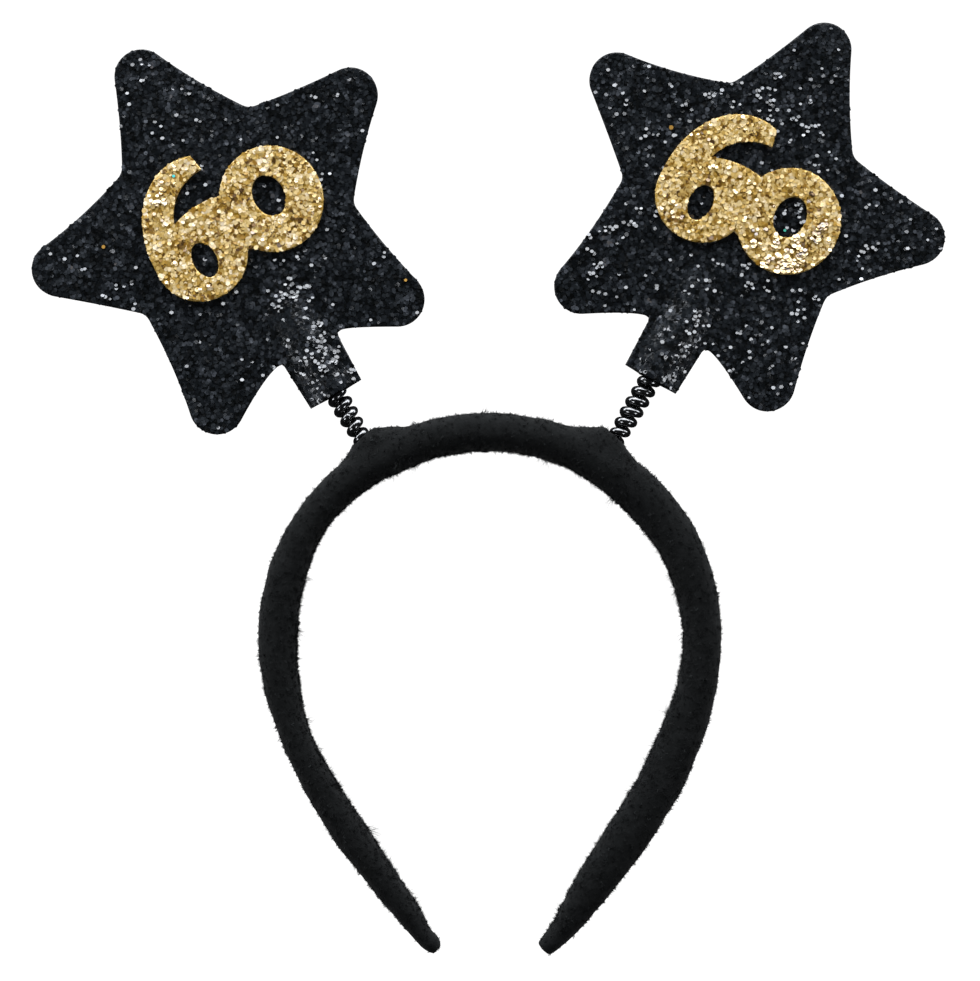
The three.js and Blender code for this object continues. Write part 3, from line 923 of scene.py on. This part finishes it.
def fleece_tufts(cover, material):
    """Tufts of longer fibre that work loose, most of them on the band's inner edge."""
    rng = np.random.default_rng(TUFT_SEED)

    def crowded(centres, normals):
        return inner_edge_first(centres, normals) ** TUFT_CROWDING

    middles, normals = scatter(cover.data, TUFT_COUNT, rng, crowded)
    leans = leaning(normals, TUFT_LEAN, rng)
    sizes = rng.gamma(TUFT_EVENNESS, TUFT_LENGTH * MM / TUFT_EVENNESS, TUFT_COUNT)
    tufts = (middles, normals, leans, sizes)
    middles, normals, leans, sizes = (np.repeat(v, TUFT_FIBRES, axis=0) for v in tufts)
    first, second = crosswise(normals)
    spread = TUFT_ACROSS * MM * rng.normal(size=(len(middles), 2))
    roots = middles + spread[:, :1] * first + spread[:, 1:] * second - FIBRE_ROOT * MM * normals
    headings = leaning(leans, TUFT_SPLAY, rng)
    bends = TUFT_BEND * rng.normal(size=headings.shape)
    lengths = np.minimum(sizes * rng.uniform(*TUFT_SHARES, len(middles)), TUFT_LONGEST * MM)
    shades = rng.random(len(middles))
    size = (lengths, TUFT_RADIUS, TUFT_JOINTS)
    return fibres("fleece_tufts", roots, headings, bends, *size, shades, material)


def star_sheet(side, face, place, outline, materials):
    """The front or back sheet of a star, with its face of flakes."""
    row = SIDES[side]
    facing = 1 if face == "front" else -1

    def height(x, y):
        return SHEET_GAP / 2 + SHEET_THICK + ridge(x, y) + facing * wave(x, y, row["seed"])

    bm = cut_sheet([outline], SHEET_THICK, height)
    if face == "back":
        bmesh.ops.scale(bm, vec=(1, 1, -1), verts=bm.verts[:])
        bmesh.ops.reverse_faces(bm, faces=bm.faces[:])
    sheet = new_piece(f"glitter_sheet_{side}_{face}", bm, place, materials["bed"], materials["edge"])
    number = number_outlines(row["number_turn"])

    def in_view(points):
        clear = edge_distance(points, [outline]) > BLACK_ACROSS * FLAKE_MARGIN
        under = inside(points, number) & (edge_distance(points, number) > BLACK_ACROSS)
        return clear & ~under if face == "front" else clear

    glitter = {
        "count": BLACK_FLAKES[face],
        "across": BLACK_ACROSS,
        "clumps": BLACK_CLUMPS,
        "shades": BLACK_SHADES,
        "patches": BLACK_PATCHES[side] if face == "front" else [],
        "stray": row["stray"],
        "odd": BLACK_ODD[side] if face == "front" else [],
        "material": materials["flake"],
    }
    name = f"black_flakes_{side}_{face}"
    return sheet, glitter_face(name, sheet, place, facing, in_view, glitter, row["seed"] + facing)


def number_sheet(side, place, materials):
    """The gold number on a star's front, with its face of flakes."""
    row = SIDES[side]
    outlines = number_outlines(row["number_turn"])
    base = SHEET_GAP / 2 + SHEET_THICK + NUMBER_GLUE_GAP + NUMBER_THICK
    bm = cut_sheet(outlines, NUMBER_THICK, lambda x, y: base + wave(x, y, row["seed"]))
    sheet = new_piece(f"gold_number_{side}", bm, place, materials["bed"], materials["edge"])
    glitter = {
        "count": GOLD_FLAKES,
        "across": GOLD_ACROSS,
        "clumps": GOLD_CLUMPS,
        "shades": row["gold_shades"],
        "patches": GOLD_PATCHES[side],
        "stray": row["gold_stray"],
        "odd": GOLD_ODD[side],
        "material": materials["flake"],
    }

    def off_the_rim(points):
        return edge_distance(points, outlines) > GOLD_ACROSS * FLAKE_MARGIN

    name, seed = f"gold_flakes_{side}", row["seed"] + NUMBER_SEED
    return sheet, glitter_face(name, sheet, place, 1, off_the_rim, glitter, seed)


def flat_size(outlines):
    """The width and length of a cut in metres, and its area without its holes in square metres."""
    outer = outlines[0] * MM
    area = sum((np.conj(o) * np.roll(o, -1)).imag.sum() / 2 * s for o, s in zip(outlines, [1, -1, -1]))
    return (float(np.ptp(outer.real)), float(np.ptp(outer.imag))), float(area) * MM * MM


def studio():
    """A lit white panel under the object, a strip light and two low panels at the top of the picture,
    two small lights, and a camera straight above. Gloss mirrors the lights and a dim room, and not the
    panel."""
    bm = bmesh.new()
    bmesh.ops.create_grid(bm, x_segments=1, y_segments=1, size=PANEL_HALF / MM)
    material, tree = new_material("lit_white_panel")
    glow = add(tree, "Emission", {"Color": linear(PANEL_COLOUR), "Strength": PANEL_GLOW})
    add(tree, "OutputMaterial", {"Surface": glow.outputs["Emission"]})
    floor = new_piece("floor", bm, Matrix.Translation((0, 0, -PANEL_DEPTH)), material)
    floor.visible_glossy = False

    world = bpy.data.worlds.new("dim_room")
    bpy.context.scene.world = world
    world.use_nodes = True
    background = world.node_tree.nodes["Background"]
    background.inputs["Color"].default_value = linear(ROOM_COLOUR)
    background.inputs["Strength"].default_value = ROOM_STRENGTH

    for row in SOFTBOXES:
        data = bpy.data.lights.new(row["name"], "AREA")
        data.shape = "RECTANGLE"
        data.size = row["wide"]
        data.size_y = row["high"]
        data.color = linear(LIGHT_COLOUR)[:3]
        data.energy = row["radiance"] * math.pi * row["wide"] * row["high"]
        light = bpy.data.objects.new(row["name"], data)
        bpy.context.scene.collection.objects.link(light)
        off, turn = math.radians(row["off"]), math.radians(row["turn"])
        towards = Vector((math.sin(off) * math.cos(turn), math.sin(off) * math.sin(turn), math.cos(off)))
        light.location = towards * row["far"]
        light.rotation_euler = towards.to_track_quat("Z", "Y").to_euler()
        light.visible_camera = False

    lens = bpy.data.cameras.new("camera")
    lens.lens = CAMERA_LENS
    lens.sensor_fit = "HORIZONTAL"
    camera = bpy.data.objects.new("camera", lens)
    bpy.context.scene.collection.objects.link(camera)
    distance = VIEW_WIDTH * CAMERA_LENS / lens.sensor_width
    camera.location = (Vector(VIEW_CENTRE) + Vector((0, 0, distance))) * MM
    bpy.context.scene.camera = camera
    bpy.context.scene.view_settings.view_transform = "Standard"


studio()

# Materials, with the tones of black and gold glitter from dark to light
wire = wire_material()
black = {
    "bed": glitter_bed_material(
        "black_glitter_resin",
        [(0.0, "#020303"), (0.6, "#07090b"), (0.9, "#101316"), (1.0, "#1d2024")],
        metallic=0.3,
    ),
    "edge": cut_edge_material("cut_black_felt_edge", [(0.3, "#070708"), (0.7, "#17181a")]),
    "flake": flake_material(
        "black_film_flakes",
        [
            (0.0, "#020303"),
            (0.1, "#050708"),
            (0.25, "#0c0f12"),
            (0.5, "#15181b"),
            (0.75, "#202326"),
            (0.9, "#2e3135"),
            (0.96, "#44474c"),
            (0.97, "#ad8440"),
            (0.985, "#ad8440"),
            (0.99, "#2f8f7a"),
        ],
        metallic=0.2,
        roughness=0.2,
        coat=0.0,
    ),
}
gold = {
    "bed": glitter_bed_material(
        "gold_glitter_resin",
        [(0.0, "#553800"), (0.4, "#8f7029"), (0.8, "#ba9c5c"), (1.0, "#d2b782")],
        metallic=0.15,
    ),
    "edge": cut_edge_material("cut_gold_card_edge", [(0.3, "#c9b482"), (0.7, "#e2d3b0")]),
    "flake": flake_material(
        "gold_film_flakes",
        [
            (0.0, "#3c2400"),
            (0.02, "#4c3000"),
            (0.1, "#7a560c"),
            (0.25, "#a27f34"),
            (0.5, "#c2a463"),
            (0.75, "#dac089"),
            (0.9, "#e8d3ab"),
            (0.96, "#f4e2c4"),
            (0.98, "#35b5b4"),
        ],
        metallic=0.15,
        roughness=0.3,
        coat=0.6,
    ),
}

# Band in its fleece
cover = fleece_cover(fleece_material())
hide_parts("headband")
fibre = fibre_material()
for piece in (cover, fleece_nap(cover, fibre), fleece_tufts(cover, fibre)):
    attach(piece, "band")

# Springs, stars and numbers
for side, row in SIDES.items():
    foot, bare = foot_place(side)
    halves = {
        "lower": {
            "span": (-SPRING_IN_BAND, bare / 2),
            "bend": (0, bare / 2),
            "on": ("band", f"coil_{side}"),
        },
        "upper": {
            "span": (bare / 2, bare + SPRING_IN_SLEEVE),
            "bend": (bare / 2, bare),
            "on": (f"coil_{side}", f"star_{side}"),
        },
    }
    for half, part in halves.items():
        spring = new_piece(f"spring_{side}_{half}", coil(row["coil_turn"], *part["span"]), foot, wire)
        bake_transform(spring)
        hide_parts(f"spring_{side}")

    star = foot @ Matrix.Translation(Vector((-SLEEVE_X, bare - TAB_END, 0)) * MM)
    outline = star_outline(row["star_turn"])
    size, area = flat_size([outline])
    for face in ("front", "back"):
        sheet, glitter = star_sheet(side, face, star, outline, black)
        for piece in (sheet, glitter):
            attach(piece, f"star_{side}")
        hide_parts(f"star_{side}_{face}")

    sheet, glitter = number_sheet(side, star, gold)
    for piece in (sheet, glitter):
        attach(piece, f"star_{side}")
    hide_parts(f"number_{side}")
    size, area = flat_size(number_outlines(row["number_turn"]))
